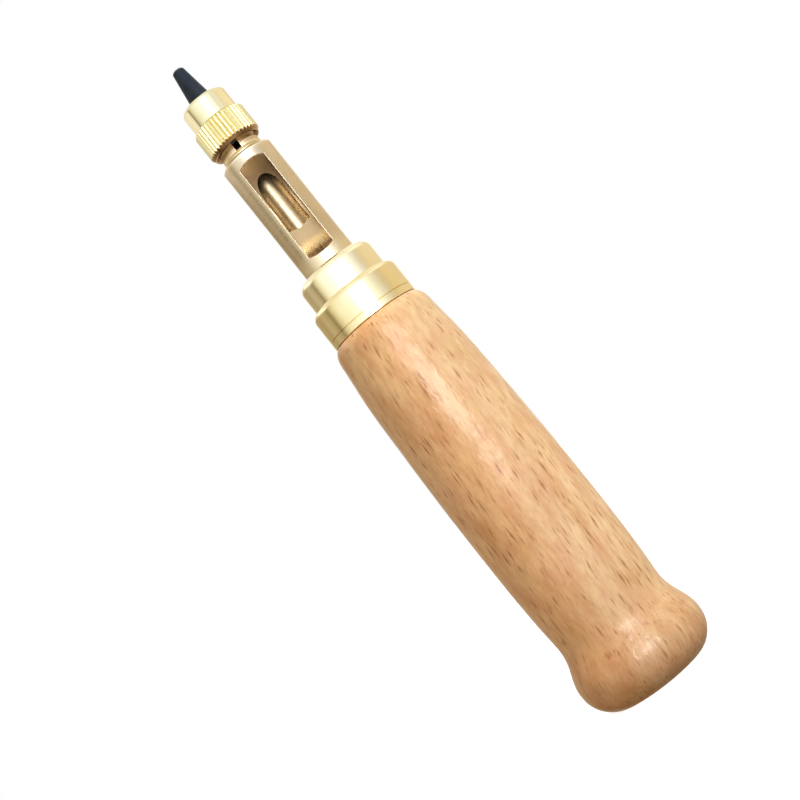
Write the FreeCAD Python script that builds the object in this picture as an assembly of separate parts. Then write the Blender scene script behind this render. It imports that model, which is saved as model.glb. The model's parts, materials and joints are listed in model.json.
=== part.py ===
"""Automatic rotary screw punch with a wooden handle.

Pushing the handle down on the work slides a brass chip shaft into the handle.
A twisted spindle fixed in the shaft runs through a slotted nut in the handle, so the
shaft and its hollow cutting tip turn as they slide.  A coil spring pushes them out again.

Millimetres.  The origin is the centre of the flat butt face.  +Z runs along the tool's
axis to the cutting tip, and the chip window opens towards -Y.
"""
import FreeCAD, Part
import math
import os

V = FreeCAD.Vector

# ---------------------------------------------------------------- driving dimensions
# Wooden handle
butt_flat_r = 10.7
bulb_r = 14.04
bulb_z = 5.55
grip_points = [(13.56, 8.7), (12.58, 11.3), (12.0, 13.7), (12.07, 17.7), (12.42, 24.2),
               (12.61, 37.2), (12.47, 51.2), (12.09, 65.2), (11.52, 76.2), (10.95, 81.8), (10.47, 84.6)]
grip_front_r = 9.85
grip_front_z = 85.8
grip_front_edge = 0.2
spigot_r = 8.5
spigot_end_z = 89.7
bore_r = 7.0
bore_floor_z = 21.2

# Ferrule, collar and bush
ferrule_r = 9.7
ferrule_rear_z = 85.95
ferrule_rear_edge = 0.12
ferrule_front_z = 93.75
ferrule_shoulder = 1.5
ferrule_line_z = 87.5
ferrule_line = 0.12
collar_r = 8.28
collar_front_z = 99.9
collar_shoulder = 1.85
collar_thread_r = 7.4
collar_lip = 1.0
collar_lip_r = 5.72
bush_outer_r = 6.5

# Housing tube and what is fixed in it
tube_inner_r = 6.5
nut_z = 49.2
nut_thick = 4.0
nut_pin_r = 0.8
nut_pin_root = 4.6
base_washer_thick = 0.6
plug_thick = 4.0
buffer_r = 6.0
buffer_thick = 1.9
stop_washer_thick = 1.0

# Spiral spindle
lead = 36.0
blade_width = 6.0
blade_thick = 2.2
blade_clearance = 0.2
blade_end_z = 45.2
blade_top_z = 81.2
blade_steps = 24
spindle_shank_r = 3.0
spindle_top_z = 96.6
spindle_pin_r = 0.75
spindle_pin_length = 10.6
spindle_pin_z = 92.2

# Chip shaft
shaft_r = 5.62
shaft_rear_z = 86.75
shaft_front_z = 127.2
shaft_edge = 0.3
shaft_front_edge = 0.45
running_gap = 0.05
rear_socket_depth = 9.95
ring_z = 87.8
ring_thick = 0.8
ring_inner_r = 5.0
ring_outer_r = 6.1

# Chip window: a pocket cut by a disc, opening the blind chip bore
window_z = 113.5
window_width = 5.74
window_cutter_r = 14.1
window_cutter_y = -13.8
window_turn = 3.0
window_edge = 0.08
chip_bore_r = 2.5
chip_bore_end_z = 110.1
chip_bore_point = 0.75

# Threaded and slotted neck
neck_r = 4.3
neck_end_z = 139.6
neck_edge = 0.4
relief_r = 3.75
relief_width = 0.6
relief_slope = 0.3
thread_pitch = 1.5
thread_depth = 0.7
thread_start_z = 128.315
thread_flank = 0.5
thread_flat = 0.08
thread_overcut = 0.15
slot_width = 1.35
slot_end_z = 128.1
tip_seat_z = 130.3
tip_socket_r = 3.2

# Chuck nut
nut_rear_z = 129.9
nut_rear_r = 5.2
knurl_r = 5.73
knurl_root_r = 5.45
knurl_rear_z = 130.75
knurl_front_z = 136.15
knurl_count = 40
knurl_crest = 0.3
knurl_edge = 0.35
nut_nose_r = 5.0
nut_nose_z = 141.2
nut_nose_shoulder = 0.8
nut_bore_r = 4.4
nut_sink_r = 5.0
nut_sink_depth = 0.9
nut_wall_z = 140.3
nut_hole_r = 2.62

# Punch tip
tip_shank_r = 3.15
tip_shank_z = 130.35
tip_shoulder_z = 140.25
tip_cone_r = 2.54
tip_end_z = 149.4
tip_end_r = 1.31
tip_ground = 0.3
tip_hole_r = 0.95
tip_hole_depth = 2.5
tip_relief_r = 2.2
tip_shank_edge = 0.2
tip_rim_land = 0.08

# Spring and its seats
seat_z = 84.9
seat_thick = 1.0
seat_r = 6.4
pilot_r = 4.25
pilot_length = 2.0
seat_hole_r = 3.35
thrust_thick = 0.8
spring_mean_r = 5.2
wire_r = 0.55
spring_turns = 9
wire_gap = 0.03


# ---------------------------------------------------------------- building blocks
def cylinder(r, z0, z1):
    """Upright cylinder on the tool's axis."""
    return Part.makeCylinder(r, z1 - z0, V(0, 0, z0))


def ring(r_outer, r_inner, z0, z1):
    """Upright tube or washer on the tool's axis."""
    return cylinder(r_outer, z0, z1).cut(cylinder(r_inner, z0, z1))


def cross_hole(r, z, x0, x1):
    """Cylinder along X through the tool's axis at height z."""
    return Part.makeCylinder(r, x1 - x0, V(x0, 0, z), V(1, 0, 0))


def round_corner(before, corner, after, radius):
    """Tangent points and middle point of the arc that rounds a corner of an outline."""
    back = (before - corner).normalize()
    ahead = (after - corner).normalize()
    half = back.getAngle(ahead) / 2
    reach = radius / math.tan(half)
    centre = corner + (back + ahead).normalize() * (radius / math.sin(half))
    middle = centre + (corner - centre).normalize() * radius
    return corner + back * reach, middle, corner + ahead * reach


def outline_edges(corners):
    """Closed outline in the X-Z plane from (r, z) or (r, z, radius) corners."""
    points = [V(c[0], 0, c[1]) for c in corners]
    count = len(corners)
    starts = []
    ends = []
    arcs = []
    for i, corner in enumerate(corners):
        radius = corner[2] if len(corner) > 2 else 0.0
        if radius > 0:
            first, middle, last = round_corner(points[i - 1], points[i], points[(i + 1) % count], radius)
            arcs.append(Part.Arc(first, middle, last).toShape())
        else:
            first = last = points[i]
            arcs.append(None)
        starts.append(first)
        ends.append(last)
    edges = []
    for i in range(count):
        if arcs[i]:
            edges.append(arcs[i])
        edges.append(Part.LineSegment(ends[i], starts[(i + 1) % count]).toShape())
    return edges


def turned(edges):
    """Solid of revolution of a closed outline about the tool's axis."""
    face = Part.Face(Part.Wire(Part.__sortEdges__(edges)))
    return face.revolve(V(0, 0, 0), V(0, 0, 1), 360)


def lathe(corners):
    """Solid of revolution of an outline given by its corners."""
    return turned(outline_edges(corners))


def twisted_blade(width, thick, z0, z1):
    """Flat bar twisted about the axis; it lies along X at the middle of the drive nut."""
    middle = nut_z + nut_thick / 2
    sections = []
    for i in range(blade_steps + 1):
        z = z0 + (z1 - z0) * i / blade_steps
        corners = [V(width / 2, thick / 2, z), V(-width / 2, thick / 2, z),
                   V(-width / 2, -thick / 2, z), V(width / 2, -thick / 2, z)]
        section = Part.makePolygon(corners + corners[:1])
        section.rotate(V(0, 0, 0), V(0, 0, 1), -360 * (z - middle) / lead)
        sections.append(Part.Wire(section.Edges))
    return Part.makeLoft(sections, True, False)


# ---------------------------------------------------------------- handle body
def wooden_handle():
    """Turned grip: bulb at the butt, waist, belly, and a bored spigot for the ferrule."""
    # The butt's arc is level with the axis where the bulb is widest and ends at the flat face.
    step = bulb_r - butt_flat_r
    bulb_round = (step ** 2 + bulb_z ** 2) / (2 * step)
    centre_r = bulb_r - bulb_round
    slope = math.asin(bulb_z / bulb_round) / 2
    middle = V(centre_r + bulb_round * math.cos(slope), 0, bulb_z - bulb_round * math.sin(slope))
    butt = V(butt_flat_r, 0, 0)
    widest = V(bulb_r, 0, bulb_z)
    front = V(grip_front_r, 0, grip_front_z - grip_front_edge)
    side = Part.BSplineCurve()
    through = [widest] + [V(r, 0, z) for r, z in grip_points] + [front]
    side.interpolate(Points=through, InitialTangent=V(0, 0, 1))
    inner = [front, V(grip_front_r - grip_front_edge, 0, grip_front_z),
             V(spigot_r, 0, grip_front_z), V(spigot_r, 0, spigot_end_z),
             V(bore_r, 0, spigot_end_z), V(bore_r, 0, bore_floor_z), V(0, 0, bore_floor_z),
             V(0, 0, 0), butt]
    edges = [Part.Arc(butt, middle, widest).toShape(), side.toShape()]
    edges += Part.makePolygon(inner).Edges
    return turned(edges)


def ferrule():
    """Brass cup over the handle's spigot: rounded shoulder, threaded front wall, one fine turned line."""
    return lathe([(ferrule_r - ferrule_rear_edge, ferrule_rear_z),
                  (ferrule_r, ferrule_rear_z + ferrule_rear_edge),
                  (ferrule_r, ferrule_line_z - ferrule_line),
                  (ferrule_r - ferrule_line, ferrule_line_z),
                  (ferrule_r, ferrule_line_z + ferrule_line),
                  (ferrule_r, ferrule_front_z, ferrule_shoulder),
                  (collar_thread_r, ferrule_front_z),
                  (collar_thread_r, spigot_end_z),
                  (spigot_r, spigot_end_z),
                  (spigot_r, ferrule_rear_z)])


def front_collar():
    """Brass cap that screws into the ferrule and holds the guide bush behind its front lip."""
    lip_z = collar_front_z - collar_lip
    return lathe([(collar_r, ferrule_front_z),
                  (collar_r, collar_front_z, collar_shoulder),
                  (collar_lip_r + shaft_edge, collar_front_z),
                  (collar_lip_r, collar_front_z - shaft_edge),
                  (collar_lip_r, lip_z),
                  (bush_outer_r, lip_z),
                  (bush_outer_r, spigot_end_z),
                  (collar_thread_r, spigot_end_z),
                  (collar_thread_r, ferrule_front_z)])


def guide_bush():
    """Bronze bush that the chip shaft slides and turns in."""
    return ring(bush_outer_r, shaft_r + running_gap, spigot_end_z, collar_front_z - collar_lip)


def stop_washer():
    """Washer that the shaft's snap ring comes to rest against."""
    return ring(tube_inner_r - running_gap, shaft_r + 3 * running_gap,
                spigot_end_z - stop_washer_thick, spigot_end_z)


def housing_tube():
    """Steel tube bonded into the handle's bore, drilled for the drive nut's pins."""
    tube = ring(bore_r, tube_inner_r, bore_floor_z, spigot_end_z)
    return tube.cut(cross_hole(nut_pin_r, nut_z + nut_thick / 2, -bore_r, bore_r))


def drive_nut():
    """Steel disc with a twisted slot that makes the spindle turn as it slides."""
    slot_overrun = 0.5
    slot = twisted_blade(blade_width + 2 * blade_clearance, blade_thick + 2 * blade_clearance,
                         nut_z - slot_overrun, nut_z + nut_thick + slot_overrun)
    nut = cylinder(tube_inner_r, nut_z, nut_z + nut_thick).cut(slot)
    for pin in drive_nut_pins().Solids:
        nut = nut.cut(pin)
    return nut


def drive_nut_pins():
    """Two dowels through the tube's wall into the drive nut."""
    z = nut_z + nut_thick / 2
    return Part.makeCompound([cross_hole(nut_pin_r, z, nut_pin_root, bore_r - running_gap),
                              cross_hole(nut_pin_r, z, running_gap - bore_r, -nut_pin_root)])


def spring_base_washer():
    """Washer between the drive nut and the spring's fixed end."""
    z = nut_z + nut_thick
    return ring(seat_r, seat_hole_r, z, z + base_washer_thick)


def tube_end_plug():
    """Steel plug in the tube's rear end."""
    return cylinder(tube_inner_r, bore_floor_z, bore_floor_z + plug_thick)


def stroke_buffer():
    """Rubber disc on the plug that ends the stroke."""
    z = bore_floor_z + plug_thick
    return cylinder(buffer_r, z, z + buffer_thick)


# ---------------------------------------------------------------- plunger body
def spring_seat():
    """Flanged seat that slides in the tube on top of the spring without turning."""
    flange = cylinder(seat_r, seat_z, seat_z + seat_thick)
    pilot = cylinder(pilot_r, seat_z - pilot_length, seat_z)
    return flange.fuse(pilot).cut(cylinder(seat_hole_r, seat_z - pilot_length, seat_z + seat_thick))


def thrust_washer():
    """Bronze washer between the spring seat and the turning shaft."""
    z = seat_z + seat_thick
    return ring(seat_r, seat_hole_r, z, z + thrust_thick)


def return_spring():
    """Compression spring round the spindle, between its base washer and the seat."""
    bottom = nut_z + nut_thick + base_washer_thick + wire_r + wire_gap
    top = seat_z - wire_r - wire_gap
    helix = Part.makeHelix((top - bottom) / spring_turns, top - bottom, spring_mean_r)
    helix.translate(V(0, 0, bottom))
    section = Part.makeCircle(wire_r, V(spring_mean_r, 0, bottom), V(0, 1, 0))
    return Part.Wire(helix.Edges).makePipeShell([Part.Wire(section)], True, True)


# ---------------------------------------------------------------- spindle body
def window_cutter():
    """Disc-shaped cut of the chip window, turned a little about the tool's axis."""
    disc = Part.makeCylinder(window_cutter_r, window_width,
                             V(-window_width / 2, window_cutter_y, window_z), V(1, 0, 0))
    disc.rotate(V(0, 0, 0), V(0, 0, 1), window_turn)
    return disc


def chip_bore():
    """Blind bore from the tip's seat back into the window, with a shallow drill point."""
    straight = cylinder(chip_bore_r, chip_bore_end_z, tip_seat_z)
    point = Part.makeCone(0, chip_bore_r, chip_bore_point, V(0, 0, chip_bore_end_z - chip_bore_point))
    return straight.fuse(point)


def neck_thread():
    """Helical groove of the neck's outside thread."""
    helix = Part.makeHelix(thread_pitch, neck_end_z - thread_start_z, neck_r)
    helix.translate(V(0, 0, thread_start_z))
    outside = neck_r + thread_overcut
    root = neck_r - thread_depth
    corners = [V(outside, 0, thread_start_z - thread_flank - thread_flat),
               V(root, 0, thread_start_z - thread_flat),
               V(root, 0, thread_start_z + thread_flat),
               V(outside, 0, thread_start_z + thread_flank + thread_flat)]
    groove = Part.makePolygon(corners + corners[:1])
    return Part.Wire(helix.Edges).makePipeShell([Part.Wire(groove.Edges)], True, True)


def threaded_neck():
    """Neck that takes the chuck nut: relief groove, thread and chamfered end."""
    neck = lathe([(0, shaft_front_z),
                  (relief_r, shaft_front_z),
                  (relief_r, shaft_front_z + relief_width),
                  (neck_r, shaft_front_z + relief_width + relief_slope),
                  (neck_r, neck_end_z - neck_edge),
                  (neck_r - neck_edge, neck_end_z),
                  (0, neck_end_z)])
    return neck.cut(neck_thread())


def rim_edges(shape):
    """Edges where the chip window breaks the shaft's outside."""
    samples_per_edge = 5
    closeness = 0.01
    found = []
    for edge in shape.Edges:
        samples = edge.discretize(samples_per_edge)
        on_surface = all(abs(math.hypot(p.x, p.y) - shaft_r) < closeness for p in samples)
        at_window = abs(edge.CenterOfMass.z - window_z) < window_cutter_r and edge.CenterOfMass.y < 0
        if on_surface and at_window:
            found.append(edge)
    return found


def chip_shaft():
    """Brass shaft: rear socket for the spindle, chip window, blind chip bore, slotted neck."""
    body = lathe([(0, shaft_rear_z),
                  (shaft_r - shaft_edge, shaft_rear_z),
                  (shaft_r, shaft_rear_z + shaft_edge),
                  (shaft_r, ring_z),
                  (ring_inner_r, ring_z),
                  (ring_inner_r, ring_z + ring_thick),
                  (shaft_r, ring_z + ring_thick),
                  (shaft_r, shaft_front_z - shaft_front_edge),
                  (shaft_r - shaft_front_edge, shaft_front_z),
                  (0, shaft_front_z)])
    body = body.cut(window_cutter())
    body = body.makeFillet(window_edge, rim_edges(body))
    body = body.fuse(threaded_neck())
    slot = Part.makeBox(slot_width, 4 * neck_r, neck_end_z - slot_end_z,
                        V(-slot_width / 2, -2 * neck_r, slot_end_z))
    body = body.cut(chip_bore())
    body = body.cut(cylinder(tip_socket_r, tip_seat_z, neck_end_z))
    body = body.cut(slot)
    body = body.cut(cylinder(spindle_shank_r, shaft_rear_z, shaft_rear_z + rear_socket_depth))
    return body.cut(spindle_pin())


def shaft_snap_ring():
    """Steel ring in the shaft's groove that stops it leaving the handle."""
    return ring(ring_outer_r, ring_inner_r, ring_z, ring_z + ring_thick)


def spiral_spindle():
    """Twisted steel blade under a round shank that is pinned into the chip shaft."""
    shank = cylinder(spindle_shank_r, blade_top_z, spindle_top_z)
    blade = twisted_blade(blade_width, blade_thick, blade_end_z, blade_top_z)
    return shank.fuse(blade).cut(spindle_pin())


def spindle_pin():
    """Cross pin that fixes the spindle in the chip shaft."""
    half = spindle_pin_length / 2
    return cross_hole(spindle_pin_r, spindle_pin_z, -half, half)


# ---------------------------------------------------------------- chuck
def knurl_prism(z0, z1):
    """Prism with a straight knurl: flat-topped V ridges all round."""
    points = []
    step = 2 * math.pi / knurl_count
    for i in range(knurl_count):
        for offset, r in ((-0.5, knurl_root_r), (-knurl_crest / 2, knurl_r), (knurl_crest / 2, knurl_r)):
            angle = (i + offset) * step
            points.append(V(r * math.cos(angle), r * math.sin(angle), z0))
    face = Part.Face(Part.makePolygon(points + points[:1]))
    return face.extrude(V(0, 0, z1 - z0))


def chuck_nut():
    """Knurled brass nut that draws the tip's shoulder down on the neck."""
    envelope = lathe([(0, nut_rear_z),
                      (nut_rear_r, nut_rear_z),
                      (knurl_r, knurl_rear_z),
                      (knurl_r, knurl_front_z - knurl_edge),
                      (knurl_r - knurl_edge, knurl_front_z),
                      (0, knurl_front_z)])
    grip = knurl_prism(nut_rear_z, knurl_front_z).common(envelope)
    nose = lathe([(0, knurl_front_z),
                  (nut_nose_r, knurl_front_z),
                  (nut_nose_r, nut_nose_z, nut_nose_shoulder),
                  (0, nut_nose_z)])
    inside = lathe([(0, nut_rear_z),
                    (nut_sink_r, nut_rear_z),
                    (nut_bore_r, nut_rear_z + nut_sink_depth),
                    (nut_bore_r, nut_wall_z),
                    (nut_hole_r, nut_wall_z),
                    (nut_hole_r, nut_nose_z),
                    (0, nut_nose_z)])
    return grip.fuse(nose).cut(inside)


def punch_tip():
    """Hollow hardened tip: shank, shoulder, tapered nose and a ground cutting rim."""
    hole_top = tip_end_z - tip_hole_depth
    return lathe([(tip_relief_r, tip_shank_z),
                  (tip_shank_r - tip_shank_edge, tip_shank_z),
                  (tip_shank_r, tip_shank_z + tip_shank_edge),
                  (tip_shank_r, tip_shoulder_z),
                  (tip_cone_r, tip_shoulder_z),
                  (tip_end_r, tip_end_z - tip_ground),
                  (tip_hole_r + tip_rim_land, tip_end_z),
                  (tip_hole_r, tip_end_z),
                  (tip_hole_r, hole_top)])


# ---------------------------------------------------------------- export
SUBPARTS = [wooden_handle, ferrule, front_collar, guide_bush, stop_washer, housing_tube, drive_nut,
            drive_nut_pins, spring_base_washer, tube_end_plug, stroke_buffer, spring_seat,
            thrust_washer, return_spring, chip_shaft, shaft_snap_ring, spiral_spindle, spindle_pin,
            chuck_nut, punch_tip]

os.makedirs("parts", exist_ok=True)
for build in SUBPARTS:
    shape = build()
    if len(shape.Solids) == 1:
        shape = shape.Solids[0]
    shape.exportStep("parts/" + build.__name__ + ".step")
    box = shape.optimalBoundingBox()
    print(f"{build.__name__:20s} solids {len(shape.Solids)} valid {shape.isValid()} "
          f"volume {shape.Volume:9.2f} mm3  z {box.ZMin:.2f} to {box.ZMax:.2f}")
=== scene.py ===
import json
import math

import bpy
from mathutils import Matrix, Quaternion, Vector


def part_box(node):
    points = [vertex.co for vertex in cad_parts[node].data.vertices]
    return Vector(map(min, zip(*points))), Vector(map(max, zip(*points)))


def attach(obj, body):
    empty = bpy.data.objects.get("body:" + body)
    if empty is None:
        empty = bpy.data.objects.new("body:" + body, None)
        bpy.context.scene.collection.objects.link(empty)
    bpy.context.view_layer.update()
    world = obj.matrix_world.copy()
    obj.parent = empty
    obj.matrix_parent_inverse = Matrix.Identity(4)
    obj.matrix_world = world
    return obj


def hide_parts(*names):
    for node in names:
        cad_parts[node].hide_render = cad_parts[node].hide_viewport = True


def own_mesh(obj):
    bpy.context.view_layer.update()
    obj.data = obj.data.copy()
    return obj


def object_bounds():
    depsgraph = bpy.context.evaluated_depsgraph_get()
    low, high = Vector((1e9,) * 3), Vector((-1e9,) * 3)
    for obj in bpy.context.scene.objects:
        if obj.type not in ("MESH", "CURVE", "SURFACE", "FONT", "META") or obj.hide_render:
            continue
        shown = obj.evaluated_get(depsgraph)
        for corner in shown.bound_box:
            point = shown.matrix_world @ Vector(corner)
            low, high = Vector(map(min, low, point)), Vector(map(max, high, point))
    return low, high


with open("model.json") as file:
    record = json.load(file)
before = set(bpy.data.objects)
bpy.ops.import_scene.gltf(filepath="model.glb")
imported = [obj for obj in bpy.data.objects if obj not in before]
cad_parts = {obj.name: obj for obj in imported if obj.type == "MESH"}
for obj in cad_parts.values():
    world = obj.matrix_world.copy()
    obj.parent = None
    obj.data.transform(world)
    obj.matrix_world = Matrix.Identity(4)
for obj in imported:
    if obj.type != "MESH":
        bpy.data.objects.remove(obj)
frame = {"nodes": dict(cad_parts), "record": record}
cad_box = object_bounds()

# Finishes, return spring, light, floor and camera of the automatic rotary screw punch.
# Metres, in the CAD model's frame: +Z runs from the butt to the cutting tip, the window is close to -Y.
MM = 0.001
NODES = frame["nodes"]


def band(face, start, end):
    """Two places, given in millimetres from a face, as metres in the part's frame."""
    return face + start * MM, face + end * MM


# Faces and radii of the CAD parts.
AXIS = 0.0
BUTT = cad_box[0][2]
COLLAR_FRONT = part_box("front_collar")[1][2]
SHAFT_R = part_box("chip_shaft")[1][0]
NUT_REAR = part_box("chuck_nut")[0][2]
NUT_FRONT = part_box("chuck_nut")[1][2]
KNURL_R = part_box("chuck_nut")[1][0]
TIP_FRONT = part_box("punch_tip")[1][2]
CHIP_BORE_R = 2.5 * MM

# Bands over which a finish, or the light and shade painted into it, changes, measured from those faces.
WOOD_SIDES = band(AXIS, -9, 4)
WOOD_BUTT = band(BUTT, 4, 20)
WOOD_FRONT = band(BUTT, 50, 80)
SHAFT_SKIN = band(SHAFT_R, -0.27, -0.07)
SHAFT_LIT_BAND = band(COLLAR_FRONT, 1.1, 5.1)
WINDOW_FOOT = band(COLLAR_FRONT, 3.1, 4.0)
WINDOW_GLEAM = band(COLLAR_FRONT, 4.9, 7.1)
WINDOW_LENGTH = band(COLLAR_FRONT, 5.1, 17.1)
WINDOW_SHADE = band(COLLAR_FRONT, 12.1, 19.1)
WINDOW_WIDTH = band(AXIS, -2.6, 1.5)
BORE_WALL = band(CHIP_BORE_R, 0.02, 0.08)
BORE_END = band(COLLAR_FRONT, 10.0, 10.2)
NECK = band(NUT_REAR, -3.9, -2.9)
NECK_THREAD = band(NUT_REAR, -1.9, -1.3)
KNURL_REAR = band(NUT_REAR, 0.75, 0.95)
KNURL_FRONT = band(NUT_REAR, 6.15, 6.35)
KNURL_DEPTH = band(KNURL_R, -0.27, -0.03)
TIP_RIM = band(TIP_FRONT, -0.40, -0.20)


# ------------------------------------------------------------------ shader helpers
def new_material(name):
    """Empty material with a Principled shader wired to its output."""
    material = bpy.data.materials.new(name)
    material.use_nodes = True
    tree = material.node_tree
    tree.nodes.clear()
    output = tree.nodes.new("ShaderNodeOutputMaterial")
    shader = tree.nodes.new("ShaderNodeBsdfPrincipled")
    tree.links.new(shader.outputs["BSDF"], output.inputs["Surface"])
    return material, tree, shader


def feed(tree, socket, value):
    """Sets a socket to a number or a colour, or links another node's output to it."""
    if isinstance(value, (int, float)):
        socket.default_value = value
    elif isinstance(value, tuple):
        socket.default_value = (*value, 1.0)
    else:
        tree.links.new(value, socket)


def math_node(tree, operation, a, b):
    """Result of a Math node on two numbers or outputs."""
    node = tree.nodes.new("ShaderNodeMath")
    node.operation = operation
    feed(tree, node.inputs[0], a)
    feed(tree, node.inputs[1], b)
    return node.outputs["Value"]


def product(tree, a, b):
    """One number or output times another."""
    return math_node(tree, "MULTIPLY", a, b)


def remap(tree, value, low, high, to_low=0.0, to_high=1.0):
    """Value mapped smoothly from low..high to to_low..to_high and clamped."""
    node = tree.nodes.new("ShaderNodeMapRange")
    node.interpolation_type = "SMOOTHSTEP"
    for key, number in (("From Min", low), ("From Max", high), ("To Min", to_low), ("To Max", to_high)):
        node.inputs[key].default_value = number
    tree.links.new(value, node.inputs["Value"])
    return node.outputs["Result"]


def rising(tree, place, span):
    """0 before a band of heights, widths or radii, 1 beyond it."""
    return remap(tree, place, span[0], span[1])


def falling(tree, place, span):
    """1 before a band of heights, widths or radii, 0 beyond it."""
    return remap(tree, place, span[0], span[1], 1.0, 0.0)


def mix_colour(tree, factor, a, b, blend="MIX"):
    """Colour a at factor 0, blended into colour b at factor 1; the Mix node's colours are sockets 6 and 7."""
    node = tree.nodes.new("ShaderNodeMix")
    node.data_type = "RGBA"
    node.blend_type = blend
    for index, value in ((0, factor), (6, a), (7, b)):
        feed(tree, node.inputs[index], value)
    return node.outputs[2]


def tinted(tree, colour, tint):
    """Colour multiplied by a tint."""
    return mix_colour(tree, 1.0, colour, tint, "MULTIPLY")


def ramp(tree, share, stops, span, peak=1.0):
    """Colour ramp through (degrees, colour) stops, over a span centred on 0; its white is the peak."""
    node = tree.nodes.new("ShaderNodeValToRGB")
    node.color_ramp.interpolation = "EASE"
    elements = node.color_ramp.elements
    while len(elements) < len(stops):
        elements.new(0.5)
    for element, (degrees, colour) in zip(elements, stops):
        element.position = degrees / span + 0.5
        element.color = (*[level / peak for level in colour], 1.0)
    tree.links.new(share, node.inputs["Fac"])
    return node.outputs["Color"]


def object_space(tree, scale, lean=0.0):
    """Coordinates in the part's own frame, tilted by an angle about Y and scaled along each axis."""
    coordinates = tree.nodes.new("ShaderNodeTexCoord")
    mapping = tree.nodes.new("ShaderNodeMapping")
    mapping.inputs["Rotation"].default_value = (0.0, lean, 0.0)
    mapping.inputs["Scale"].default_value = scale
    tree.links.new(coordinates.outputs["Object"], mapping.inputs["Vector"])
    return mapping.outputs["Vector"]


def axis_place(tree):
    """Place across, height along the tool's axis and distance from it, in the part's own frame."""
    split = tree.nodes.new("ShaderNodeSeparateXYZ")
    tree.links.new(object_space(tree, (1, 1, 1)), split.inputs["Vector"])
    length = tree.nodes.new("ShaderNodeVectorMath")
    length.operation = "LENGTH"
    tree.links.new(object_space(tree, (1, 1, 0)), length.inputs[0])
    return split.outputs["X"], split.outputs["Z"], length.outputs["Value"]


def scaled(tree, vector, scale):
    """Vector multiplied by a scale along each axis."""
    node = tree.nodes.new("ShaderNodeVectorMath")
    node.operation = "MULTIPLY"
    node.inputs[1].default_value = scale
    tree.links.new(vector, node.inputs[0])
    return node.outputs["Vector"]


def noise_node(tree, vector, detail, roughness):
    """Noise with about one lump to each unit of the vector."""
    node = tree.nodes.new("ShaderNodeTexNoise")
    node.inputs["Scale"].default_value = 1.0
    node.inputs["Detail"].default_value = detail
    node.inputs["Roughness"].default_value = roughness
    tree.links.new(vector, node.inputs["Vector"])
    return node


def noise(tree, vector, detail, roughness):
    """Noise as a single value."""
    return noise_node(tree, vector, detail, roughness).outputs["Fac"]


def bump(tree, shader, height, distance, strength, socket="Normal"):
    """Relief of a given depth in metres on one of the shader's normals."""
    node = tree.nodes.new("ShaderNodeBump")
    node.inputs["Strength"].default_value = strength
    node.inputs["Distance"].default_value = distance
    tree.links.new(height, node.inputs["Height"])
    tree.links.new(node.outputs["Normal"], shader.inputs[socket])


# ------------------------------------------------------------------ wood
WOOD_LIGHT = (0.660, 0.430, 0.225)
WOOD_DARK = (0.520, 0.275, 0.112)
WOOD_YELLOW = (0.640, 0.420, 0.190)
WOOD_ROSE = (0.600, 0.310, 0.165)
WOOD_BROWN = (0.380, 0.185, 0.070)
WOOD_FLECK = (0.290, 0.105, 0.028)
NO_TINT = (1.0, 1.0, 1.0)

GRAIN_LEAN = -0.07
GRAIN_WANDER = (1.6 * MM, 1.6 * MM, 0.0)

# Painted light and shade: the -X side is painted browner as shade and the +X side a little cooler, the butt
# is painted darker as shade and the front end paler as painted light.
# Each row is an axis, a band along it, and the tint before and after the band.
WOOD_PAINTED_LIGHT_AND_SHADE = [
    ("X", WOOD_SIDES, (1.04, 0.89, 0.73), (0.95, 0.98, 1.03)),
    ("Z", WOOD_BUTT, (0.79, 0.73, 0.68), NO_TINT),
    ("Z", WOOD_FRONT, NO_TINT, (0.96, 1.02, 1.04)),
]

# Bold flecks, thin ones and hairs. Each row is the cells per metre, where in its cell a spot starts to
# fade and where it ends, and the range of random tones with the depths that it stands for.
WOOD_FLECKS = [
    ((1000, 1000, 155), (0.10, 0.54), (0.0, 0.8), (0.1, 0.9)),
    ((1350, 1350, 165), (0.10, 0.50), (0.2, 0.9), (0.0, 0.8)),
    ((2100, 2100, 150), (0.08, 0.46), (0.2, 0.9), (0.0, 0.5)),
]


def wandering_grain(tree):
    """Coordinates that lean with the grain and wander a little across it."""
    leaning = object_space(tree, (1, 1, 1), GRAIN_LEAN)
    wander = noise_node(tree, scaled(tree, leaning, (90, 90, 90)), 2.0, 0.5)
    shift = tree.nodes.new("ShaderNodeVectorMath")
    shift.operation = "MULTIPLY_ADD"
    tree.links.new(wander.outputs["Color"], shift.inputs[0])
    shift.inputs[1].default_value = GRAIN_WANDER
    tree.links.new(leaning, shift.inputs[2])
    return shift.outputs["Vector"]


def flecks(tree, grain, cells_per_metre, fade, tones, depths):
    """Pointed spots, one to a cell, each with its own random depth."""
    cells = tree.nodes.new("ShaderNodeTexVoronoi")
    cells.distance = "MANHATTAN"
    cells.inputs["Scale"].default_value = 1.0
    tree.links.new(scaled(tree, grain, cells_per_metre), cells.inputs["Vector"])
    channels = tree.nodes.new("ShaderNodeSeparateColor")
    tree.links.new(cells.outputs["Color"], channels.inputs["Color"])
    spot = falling(tree, cells.outputs["Distance"], fade)
    return product(tree, spot, remap(tree, channels.outputs["Red"], *tones, *depths))


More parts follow.
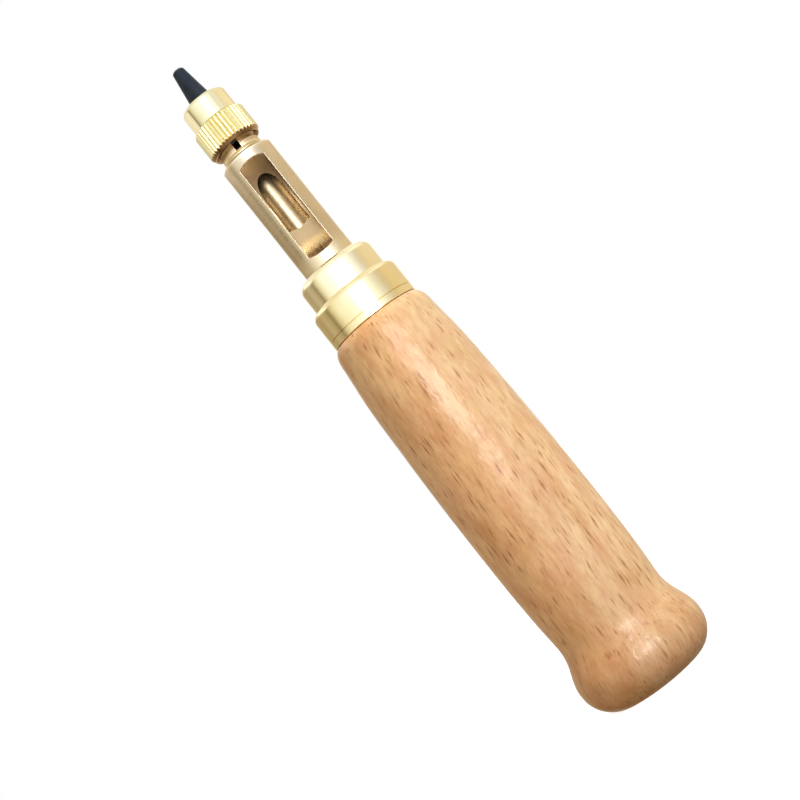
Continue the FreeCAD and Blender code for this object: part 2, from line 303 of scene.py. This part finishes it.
def beech():
    """Varnished beech: soft mottled ground, long thin leaning flecks, fine fibres, uneven gloss, with painted
    shade on the -X side and the butt and painted light on the front end.
    """
    material, tree, shader = new_material("beech")
    grain = wandering_grain(tree)
    patch = noise(tree, scaled(tree, grain, (290, 290, 105)), 4.0, 0.65)
    warm = noise(tree, scaled(tree, grain, (240, 240, 150)), 3.0, 0.6)
    yellow = noise(tree, scaled(tree, grain, (170, 170, 70)), 3.0, 0.6)
    cloudy = noise(tree, scaled(tree, grain, (1000, 1000, 330)), 3.0, 0.6)
    fibre = noise(tree, scaled(tree, grain, (2400, 2400, 300)), 4.0, 0.7)
    colour = mix_colour(tree, remap(tree, patch, 0.28, 0.68), WOOD_DARK, WOOD_LIGHT)
    colour = mix_colour(tree, remap(tree, yellow, 0.48, 0.72, 0.0, 0.5), colour, WOOD_YELLOW)
    colour = mix_colour(tree, remap(tree, warm, 0.45, 0.70, 0.0, 0.6), colour, WOOD_ROSE)
    colour = mix_colour(tree, remap(tree, cloudy, 0.45, 0.75, 0.0, 0.3), colour, WOOD_BROWN)
    colour = mix_colour(tree, remap(tree, fibre, 0.45, 0.75, 0.0, 0.35), colour, WOOD_BROWN)

    place = tree.nodes.new("ShaderNodeSeparateXYZ")
    tree.links.new(grain, place.inputs["Vector"])
    # Painted light and shade: browner -X side, darker butt, paler front end.
    for axis, span, before, after in WOOD_PAINTED_LIGHT_AND_SHADE:
        tint = mix_colour(tree, rising(tree, place.outputs[axis], span), before, after)
        colour = tinted(tree, colour, tint)

    bold, thin, hair = [flecks(tree, grain, *row) for row in WOOD_FLECKS]
    fleck = math_node(tree, "MAXIMUM", math_node(tree, "MAXIMUM", bold, thin), hair)
    tree.links.new(mix_colour(tree, fleck, colour, WOOD_FLECK), shader.inputs["Base Color"])
    tree.links.new(remap(tree, patch, 0.2, 0.8, 0.36, 0.52), shader.inputs["Roughness"])
    shader.inputs["Specular IOR Level"].default_value = 0.2
    relief = math_node(tree, "SUBTRACT", product(tree, fibre, 0.4), fleck)
    bump(tree, shader, relief, 0.03 * MM, 0.5)

    # Varnish, laid on unevenly.
    shader.inputs["Coat Weight"].default_value = 0.7
    shader.inputs["Coat IOR"].default_value = 1.45
    tree.links.new(remap(tree, warm, 0.35, 0.65, 0.14, 0.27), shader.inputs["Coat Roughness"])
    ripple = noise(tree, scaled(tree, grain, (330, 330, 140)), 3.0, 0.6)
    bump(tree, shader, ripple, 0.6 * MM, 0.6, "Coat Normal")
    return material


# ------------------------------------------------------------------ metals
BRASS_LIGHT = (0.93, 0.82, 0.52)
BRASS_DARK = (0.90, 0.77, 0.46)
# Painted light: a paler, brighter copy of the polished brass for the front collar.
COLLAR_LIT_LIGHT = (0.98, 0.90, 0.65)
COLLAR_LIT_DARK = (0.95, 0.86, 0.60)
NUT_LIGHT = (0.86, 0.80, 0.56)
NUT_DARK = (0.83, 0.76, 0.51)
NUT_CONE_SHADE = (0.47, 0.31, 0.17)
KNURL_CREST = (0.74, 0.67, 0.39)
KNURL_GROOVE = (0.60, 0.51, 0.26)
SHAFT_LIGHT = (0.70, 0.60, 0.45)
SHAFT_DARK = (0.64, 0.54, 0.39)
SHAFT_LIT_REAR = (0.80, 0.68, 0.48)
NECK_BRIGHT = (0.92, 0.82, 0.60)
NECK_SHADE_BROWN = (0.62, 0.48, 0.30)
MILLED_REAR = (0.66, 0.51, 0.31)
MILLED_SHADED_FRONT = (0.37, 0.275, 0.165)
MILLED_GLEAM = (1.0, 0.80, 0.47)
MILLED_FOOT_SHADE = (0.66, 0.42, 0.22)
MILLED_LIT = (1.5, 1.55, 1.75)
MILLED_DIM = (0.88, 0.88, 0.92)
BORE_BROWN = (0.52, 0.41, 0.26)
OXIDE_DARK = (0.007, 0.012, 0.020)
OXIDE_LIGHT = (0.014, 0.020, 0.029)
GROUND_STEEL = (0.20, 0.20, 0.21)

# Changes of roughness.
KNURL_DULLING = 0.32
SKIN_POLISH = 0.09
REAR_AND_NECK_DULLING = 0.16
GLEAM_POLISH = 0.04


def lathe_rings(tree, rings_per_metre):
    """Fine rings round the axis."""
    return noise(tree, object_space(tree, (60, 60, rings_per_metre)), 2.0, 0.6)


def tarnished(tree, clean, stained):
    """Colour that drifts between two tones of a metal in soft clouds."""
    cloud = noise(tree, object_space(tree, (260, 260, 200)), 4.0, 0.6)
    return mix_colour(tree, remap(tree, cloud, 0.35, 0.75), clean, stained)


def dress_metal(tree, shader, colour, roughness, relief, depth):
    """Wires a metal's colour, roughness and relief to its shader."""
    tree.links.new(colour, shader.inputs["Base Color"])
    shader.inputs["Metallic"].default_value = 1.0
    tree.links.new(roughness, shader.inputs["Roughness"])
    bump(tree, shader, relief, depth, 0.5)


def turned_metal(name, light, dark, rough):
    """Lathe-turned metal: fine rings round the axis, slight tarnish and uneven polish."""
    material, tree, shader = new_material(name)
    rings = lathe_rings(tree, 9000)
    spread = remap(tree, rings, 0.3, 0.7, rough * 0.75, rough * 1.3)
    dress_metal(tree, shader, tarnished(tree, light, dark), spread, rings, 0.004 * MM)
    return material


def knurled_brass():
    """Polished brass with painted shade behind its knurled band, where the rear cone is painted dark brown;
    the band is duller and darker in its grooves.
    """
    material, tree, shader = new_material("knurled_brass")
    rings = lathe_rings(tree, 9000)
    _, height, radius = axis_place(tree)
    ahead = rising(tree, height, KNURL_REAR)
    knurl = product(tree, ahead, falling(tree, height, KNURL_FRONT))
    groove = falling(tree, radius, KNURL_DEPTH)
    # Painted shade: the rear cone behind the knurl is painted dark brown.
    colour = mix_colour(tree, ahead, NUT_CONE_SHADE, tarnished(tree, NUT_LIGHT, NUT_DARK))
    worn = mix_colour(tree, groove, KNURL_CREST, KNURL_GROOVE)
    colour = mix_colour(tree, knurl, colour, worn)
    spread = remap(tree, rings, 0.3, 0.7, 0.07, 0.13)
    spread = math_node(tree, "ADD", spread, product(tree, knurl, KNURL_DULLING))
    dress_metal(tree, shader, colour, spread, rings, 0.004 * MM)
    return material


def satin_brass():
    """Brass of the shaft: satin and finely ringed outside with painted light on its rear by the collar, a
    milled window with painted shade and a painted highlight, a browner bore, a bright neck with painted shade
    on its thread under the nut.
    """
    material, tree, shader = new_material("satin_brass")
    across, height, radius = axis_place(tree)
    neck = rising(tree, height, NECK)
    lit_rear = falling(tree, height, SHAFT_LIT_BAND)
    gleam = falling(tree, height, WINDOW_GLEAM)
    outside = math_node(tree, "MAXIMUM", rising(tree, radius, SHAFT_SKIN), neck)
    inside = math_node(tree, "SUBTRACT", 1.0, outside)
    bore = product(tree, falling(tree, radius, BORE_WALL), rising(tree, height, BORE_END))

    skin = tarnished(tree, SHAFT_LIGHT, SHAFT_DARK)
    # Painted light: the shaft's rear next to the collar is painted brighter.
    skin = mix_colour(tree, lit_rear, skin, SHAFT_LIT_REAR)
    skin = mix_colour(tree, neck, skin, NECK_BRIGHT)
    # Painted shade: the thread under the nut is painted brown.
    skin = mix_colour(tree, rising(tree, height, NECK_THREAD), skin, NECK_SHADE_BROWN)

    # Painted shade and highlight in the window: darker towards its front end, a bright gleam and a shaded
    # brown foot near its rear end, and lighter on its -X side towards the front.
    milled = mix_colour(tree, rising(tree, height, WINDOW_LENGTH), MILLED_REAR, MILLED_SHADED_FRONT)
    milled = mix_colour(tree, gleam, milled, MILLED_GLEAM)
    milled = mix_colour(tree, falling(tree, height, WINDOW_FOOT), milled, MILLED_FOOT_SHADE)
    shade = mix_colour(tree, rising(tree, across, WINDOW_WIDTH), MILLED_LIT, MILLED_DIM)
    shade = mix_colour(tree, rising(tree, height, WINDOW_SHADE), NO_TINT, shade)
    colour = mix_colour(tree, outside, tinted(tree, milled, shade), skin)
    colour = mix_colour(tree, bore, colour, BORE_BROWN)

    rings = product(tree, lathe_rings(tree, 5000), outside)
    marks = product(tree, noise(tree, object_space(tree, (2500, 300, 300)), 1.0, 0.5), inside)
    spread = remap(tree, math_node(tree, "ADD", rings, marks), 0.3, 0.7, 0.3, 0.42)
    # Rougher on the rear with the painted light and on the neck.
    worn = math_node(tree, "MAXIMUM", lit_rear, neck)
    skin_polish = math_node(tree, "SUBTRACT", SKIN_POLISH, product(tree, worn, REAR_AND_NECK_DULLING))
    spread = math_node(tree, "SUBTRACT", spread, product(tree, outside, skin_polish))
    gleam_polish = product(tree, product(tree, inside, gleam), GLEAM_POLISH)
    spread = math_node(tree, "SUBTRACT", spread, gleam_polish)
    dress_metal(tree, shader, colour, spread, rings, 0.006 * MM)
    return material


def black_oxide():
    """Blued steel: near-black, faintly mottled, worn greyer at the cutting rim."""
    material, tree, shader = new_material("black_oxide")
    cloud = noise(tree, object_space(tree, (700, 700, 500)), 4.0, 0.6)
    _, height, _ = axis_place(tree)
    ground = product(tree, rising(tree, height, TIP_RIM), 0.7)
    colour = mix_colour(tree, remap(tree, cloud, 0.3, 0.7), OXIDE_DARK, OXIDE_LIGHT)
    tree.links.new(mix_colour(tree, ground, colour, GROUND_STEEL), shader.inputs["Base Color"])
    tree.links.new(ground, shader.inputs["Metallic"])
    shader.inputs["Specular IOR Level"].default_value = 0.15
    tree.links.new(remap(tree, cloud, 0.3, 0.7, 0.36, 0.5), shader.inputs["Roughness"])
    bump(tree, shader, cloud, 0.01 * MM, 0.4)
    return material


def dull(name, dark, light, rough):
    """Matte rubber or fibre with a fine grain."""
    material, tree, shader = new_material(name)
    grain = noise(tree, object_space(tree, (1500, 1500, 1500)), 3.0, 0.6)
    tree.links.new(mix_colour(tree, grain, dark, light), shader.inputs["Base Color"])
    shader.inputs["Roughness"].default_value = rough
    bump(tree, shader, grain, 0.02 * MM, 0.5)
    return material


# Finish of each material slot, and of the nodes that have one of their own.
FINISHES = {
    "beech": beech(),
    "polished_brass": turned_metal("polished_brass", BRASS_LIGHT, BRASS_DARK, 0.14),
    "satin_brass": satin_brass(),
    "bronze": turned_metal("bronze", (0.58, 0.36, 0.17), (0.46, 0.27, 0.12), 0.3),
    "steel": turned_metal("steel", (0.62, 0.62, 0.62), (0.42, 0.42, 0.43), 0.3),
    "black_steel": black_oxide(),
    "rubber": dull("rubber", (0.012, 0.012, 0.012), (0.035, 0.035, 0.035), 0.75),
    "fibre": dull("fibre", (0.16, 0.05, 0.03), (0.26, 0.09, 0.05), 0.6),
}
OWN_FINISHES = {
    "chuck_nut": knurled_brass(),
    # Painted light: the front collar gets a paler copy of the polished brass, so that it reads brighter.
    "front_collar": turned_metal("pale_brass_painted_light", COLLAR_LIT_LIGHT, COLLAR_LIT_DARK, 0.15),
}


def dress_nodes():
    """Gives every CAD node its own finish, or else that of its material slot."""
    for part in frame["record"]["subparts"]:
        mesh = NODES[part["node"]].data
        mesh.materials.clear()
        mesh.materials.append(OWN_FINISHES.get(part["node"], FINISHES[part["material_slot"]]))


def put_in_scene(name, data):
    """New object in the scene."""
    item = bpy.data.objects.new(name, data)
    bpy.context.scene.collection.objects.link(item)
    return item


# ------------------------------------------------------------------ pieces
SPRING_TURNS = 9
CLOSED_TURNS = 1
STEPS_PER_TURN = 40
WIRE_R = 0.55 * MM
WIRE_SIDES = 12
CLOSED_LEAD = 1.02 * 2 * WIRE_R


def return_spring():
    """Helical wire spring, closed at both ends and fixed to the handle; the real spring shortens towards its
    fixed washer as the shaft goes in, but this mesh keeps its length.
    """
    (_, _, rear), (outer_r, _, front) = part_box("return_spring")
    coil_r = outer_r - WIRE_R
    low = rear + WIRE_R
    high = front - WIRE_R
    open_turns = SPRING_TURNS - 2 * CLOSED_TURNS
    open_lead = (high - low - 2 * CLOSED_TURNS * CLOSED_LEAD) / open_turns
    steps = SPRING_TURNS * STEPS_PER_TURN
    vertices = []
    for step in range(steps + 1):
        turn = step / STEPS_PER_TURN
        turns_open = min(max(turn - CLOSED_TURNS, 0), open_turns)
        z = low + (turn - turns_open) * CLOSED_LEAD + turns_open * open_lead
        angle = math.tau * turn
        for side in range(WIRE_SIDES):
            around = math.tau * side / WIRE_SIDES
            r = coil_r + WIRE_R * math.cos(around)
            vertices.append((r * math.cos(angle), r * math.sin(angle), z + WIRE_R * math.sin(around)))
    faces = []
    for step in range(steps):
        for side in range(WIRE_SIDES):
            a = step * WIRE_SIDES + side
            b = step * WIRE_SIDES + (side + 1) % WIRE_SIDES
            faces.append((a, a + WIRE_SIDES, b + WIRE_SIDES, b))
    faces.append(tuple(range(WIRE_SIDES)))
    faces.append(tuple(reversed(range(steps * WIRE_SIDES, (steps + 1) * WIRE_SIDES))))
    mesh = bpy.data.meshes.new("return_spring_wire")
    mesh.from_pydata(vertices, [], faces)
    mesh.polygons.foreach_set("use_smooth", [len(face) == 4 for face in faces])
    mesh.materials.append(FINISHES["steel"])
    piece = put_in_scene("return_spring_wire", mesh)
    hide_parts("return_spring")
    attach(piece, "handle")
    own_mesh(piece)


# ------------------------------------------------------------------ stage
# Studio light against azimuth, from -Y towards +X, and against elevation: (degrees, colour).
AROUND = [(-180, (1.40, 1.32, 1.15)), (-150, (0.48, 0.39, 0.25)), (-122, (0.45, 0.36, 0.22)),
          (-105, (0.57, 0.48, 0.34)), (-91, (0.48, 0.41, 0.27)), (-80, (0.29, 0.235, 0.14)),
          (-75, (0.55, 0.48, 0.33)), (-67, (0.84, 0.79, 0.60)), (-56, (1.02, 1.02, 0.87)),
          (-46, (1.12, 1.12, 1.08)), (-26, (1.30, 1.30, 1.30)), (-17, (1.52, 1.52, 1.52)),
          (-8, (1.74, 1.74, 1.74)), (8, (1.90, 1.90, 1.90)), (20, (1.82, 1.82, 1.82)),
          (29, (1.64, 1.64, 1.64)), (39, (1.30, 1.30, 1.30)), (48, (1.02, 1.05, 1.08)),
          (59, (0.88, 0.86, 0.83)), (69, (0.77, 0.70, 0.58)), (81, (0.77, 0.66, 0.46)),
          (93, (0.87, 0.72, 0.47)), (124, (0.88, 0.74, 0.51)), (149, (0.85, 0.72, 0.54)),
          (180, (1.40, 1.32, 1.15))]
AROUND_PEAK = 2.0
ABOVE = [(-60, (0.28, 0.22, 0.15)), (-40, (0.34, 0.28, 0.20)), (-25, (0.52, 0.47, 0.42)),
         (-10, (0.85, 0.84, 0.83)), (0, (1.0, 1.0, 1.0)), (20, (1.0, 1.0, 1.0)), (60, (0.95, 0.95, 0.95))]

# Even light for matte surfaces, against elevation.
SOFT_ABOVE = [(-60, (0.20, 0.155, 0.10)), (-40, (0.24, 0.19, 0.14)), (-25, (0.42, 0.38, 0.34)),
              (-10, (0.85, 0.84, 0.83)), (0, (1.0, 1.0, 1.0)), (20, (1.0, 1.0, 1.0)),
              (35, (0.75, 0.75, 0.75)), (50, (0.55, 0.55, 0.55)), (65, (0.5, 0.5, 0.5)),
              (90, (0.65, 0.65, 0.65))]

# Overhead light that takes over from the walls between two elevations, in degrees.
OVERHEAD_START = 14.4
OVERHEAD_FULL = 45.0
OVERHEAD_SHARE = 0.8
OVERHEAD = (0.56, 0.54, 0.48)

# Lamps: name, height faced, azimuth and elevation in degrees, distance, width, depth, radiance.
GRIP_HEIGHT = 72 * MM
NOSE_HEIGHT = NUT_FRONT - 3.2 * MM
MATTE_LAMP = ("side_light", GRIP_HEIGHT, 42, 40, 0.7, 0.36, 0.36, 18.8)
GLOSS_LAMPS = [
    ("gloss_light", GRIP_HEIGHT, 12, 11, 0.7, 0.42, 0.24, 8.0),
    ("nut_card_left", NOSE_HEIGHT, -118, 20, 0.12, 0.16, 0.045, 0.52),
    ("nut_card_right", NOSE_HEIGHT, 95, 20, 0.12, 0.18, 0.045, 0.2),
]


def outward(turn, rise):
    """Unit vector at an azimuth, from -Y towards +X, and an elevation, in degrees."""
    turn = math.radians(turn)
    rise = math.radians(rise)
    return Vector((math.sin(turn) * math.cos(rise), -math.cos(turn) * math.cos(rise), math.sin(rise)))


def sky_shares(tree):
    """Azimuth as a share of a turn, 0.5 towards -Y, and elevation as a share of half a turn, 0.5 level."""
    coordinates = tree.nodes.new("ShaderNodeTexCoord")
    split = tree.nodes.new("ShaderNodeSeparateXYZ")
    tree.links.new(coordinates.outputs["Generated"], split.inputs["Vector"])
    away = product(tree, split.outputs["Y"], -1.0)
    turn = math_node(tree, "ARCTAN2", split.outputs["X"], away)
    turn = math_node(tree, "ADD", math_node(tree, "DIVIDE", turn, math.tau), 0.5)
    rise = math_node(tree, "ARCSINE", split.outputs["Z"], 0.0)
    rise = math_node(tree, "ADD", math_node(tree, "DIVIDE", rise, math.pi), 0.5)
    return turn, rise


def background(tree, colour, strength=1.0):
    """World light of a colour."""
    node = tree.nodes.new("ShaderNodeBackground")
    node.inputs["Strength"].default_value = strength
    feed(tree, node.inputs["Color"], colour)
    return node.outputs["Background"]


def by_ray(tree, ray, others, chosen):
    """One shader for a kind of ray, another for all other rays."""
    path = tree.nodes.new("ShaderNodeLightPath")
    mix = tree.nodes.new("ShaderNodeMixShader")
    tree.links.new(path.outputs[ray], mix.inputs["Fac"])
    tree.links.new(others, mix.inputs[1])
    tree.links.new(chosen, mix.inputs[2])
    return mix.outputs["Shader"]


def environment():
    """Reflections see a broad white front, warm dim sides, a paler back and brown below; matte surfaces see
    light that is even all round, dimmer overhead and brown below; the camera sees plain white."""
    world = bpy.data.worlds.new("studio")
    bpy.context.scene.world = world
    world.use_nodes = True
    tree = world.node_tree
    tree.nodes.clear()
    turn, rise = sky_shares(tree)
    overhead = remap(tree, rise, OVERHEAD_START / 180 + 0.5, OVERHEAD_FULL / 180 + 0.5, 0.0, OVERHEAD_SHARE)
    walls = mix_colour(tree, overhead, ramp(tree, turn, AROUND, 360, AROUND_PEAK), OVERHEAD)
    studio = background(tree, tinted(tree, walls, ramp(tree, rise, ABOVE, 180)), AROUND_PEAK)
    even = background(tree, ramp(tree, rise, SOFT_ABOVE, 180))
    plain = background(tree, (1.0, 1.0, 1.0))
    light = by_ray(tree, "Is Diffuse Ray", studio, even)
    output = tree.nodes.new("ShaderNodeOutputWorld")
    tree.links.new(by_ray(tree, "Is Camera Ray", light, plain), output.inputs["Surface"])


def lamp(name, height, turn, rise, distance, width, depth, radiance):
    """Soft elliptical lamp that faces the axis at a height."""
    data = bpy.data.lights.new(name, "AREA")
    data.shape = "ELLIPSE"
    data.size = width
    data.size_y = depth
    area = math.pi / 4 * width * depth
    data.energy = radiance * math.pi * area
    item = put_in_scene(name, data)
    ray = outward(turn, rise)
    item.location = Vector((0, 0, height)) + ray * distance
    item.rotation_mode = "QUATERNION"
    item.rotation_quaternion = ray.to_track_quat("Z", "Y")
    return item


def lamps():
    """Side light that only matte surfaces see; gloss light and nut cards that only reflections see."""
    side_light = lamp(*MATTE_LAMP)
    side_light.visible_glossy = False
    for row in GLOSS_LAMPS:
        gloss_lamp = lamp(*row)
        gloss_lamp.visible_diffuse = False


def floor():
    """Plain white floor under the butt; only the camera sees it, so the studio lights the part alone."""
    half = 3.0
    corners = [(-half, -half, BUTT), (half, -half, BUTT), (half, half, BUTT), (-half, half, BUTT)]
    mesh = bpy.data.meshes.new("floor")
    mesh.from_pydata(corners, [], [(0, 1, 2, 3)])
    plane = put_in_scene("floor", mesh)
    material, tree, shader = new_material("floor_white")
    shader.inputs["Base Color"].default_value = (0.7, 0.7, 0.7, 1.0)
    shader.inputs["Roughness"].default_value = 0.9
    shader.inputs["Emission Color"].default_value = (1.0, 1.0, 1.0, 1.0)
    shader.inputs["Emission Strength"].default_value = 0.8
    clear = tree.nodes.new("ShaderNodeBsdfTransparent")
    surface = by_ray(tree, "Is Camera Ray", clear.outputs["BSDF"], shader.outputs["BSDF"])
    tree.links.new(surface, tree.nodes["Material Output"].inputs["Surface"])
    mesh.materials.append(material)


def camera():
    """Camera on the window's side, a little below the middle, rolled so that the tip points up and left."""
    distance = 257 * MM
    aim = Vector((-5.97, -0.14, 71.05)) * MM
    back = outward(turn=1.33, rise=-4.7)
    roll = math.radians(-38.46)
    data = bpy.data.cameras.new("camera")
    data.sensor_width = 36.0
    data.lens = 60.12
    data.clip_start = 0.01
    data.clip_end = 20.0
    eye = put_in_scene("camera", data)
    eye.rotation_mode = "QUATERNION"
    eye.location = aim + back * distance
    eye.rotation_quaternion = (-back).to_track_quat("-Z", "Y") @ Quaternion((0, 0, 1), roll)
    bpy.context.scene.camera = eye


dress_nodes()
return_spring()
environment()
lamps()
floor()
camera()
bpy.context.scene.view_settings.view_transform = "Standard"
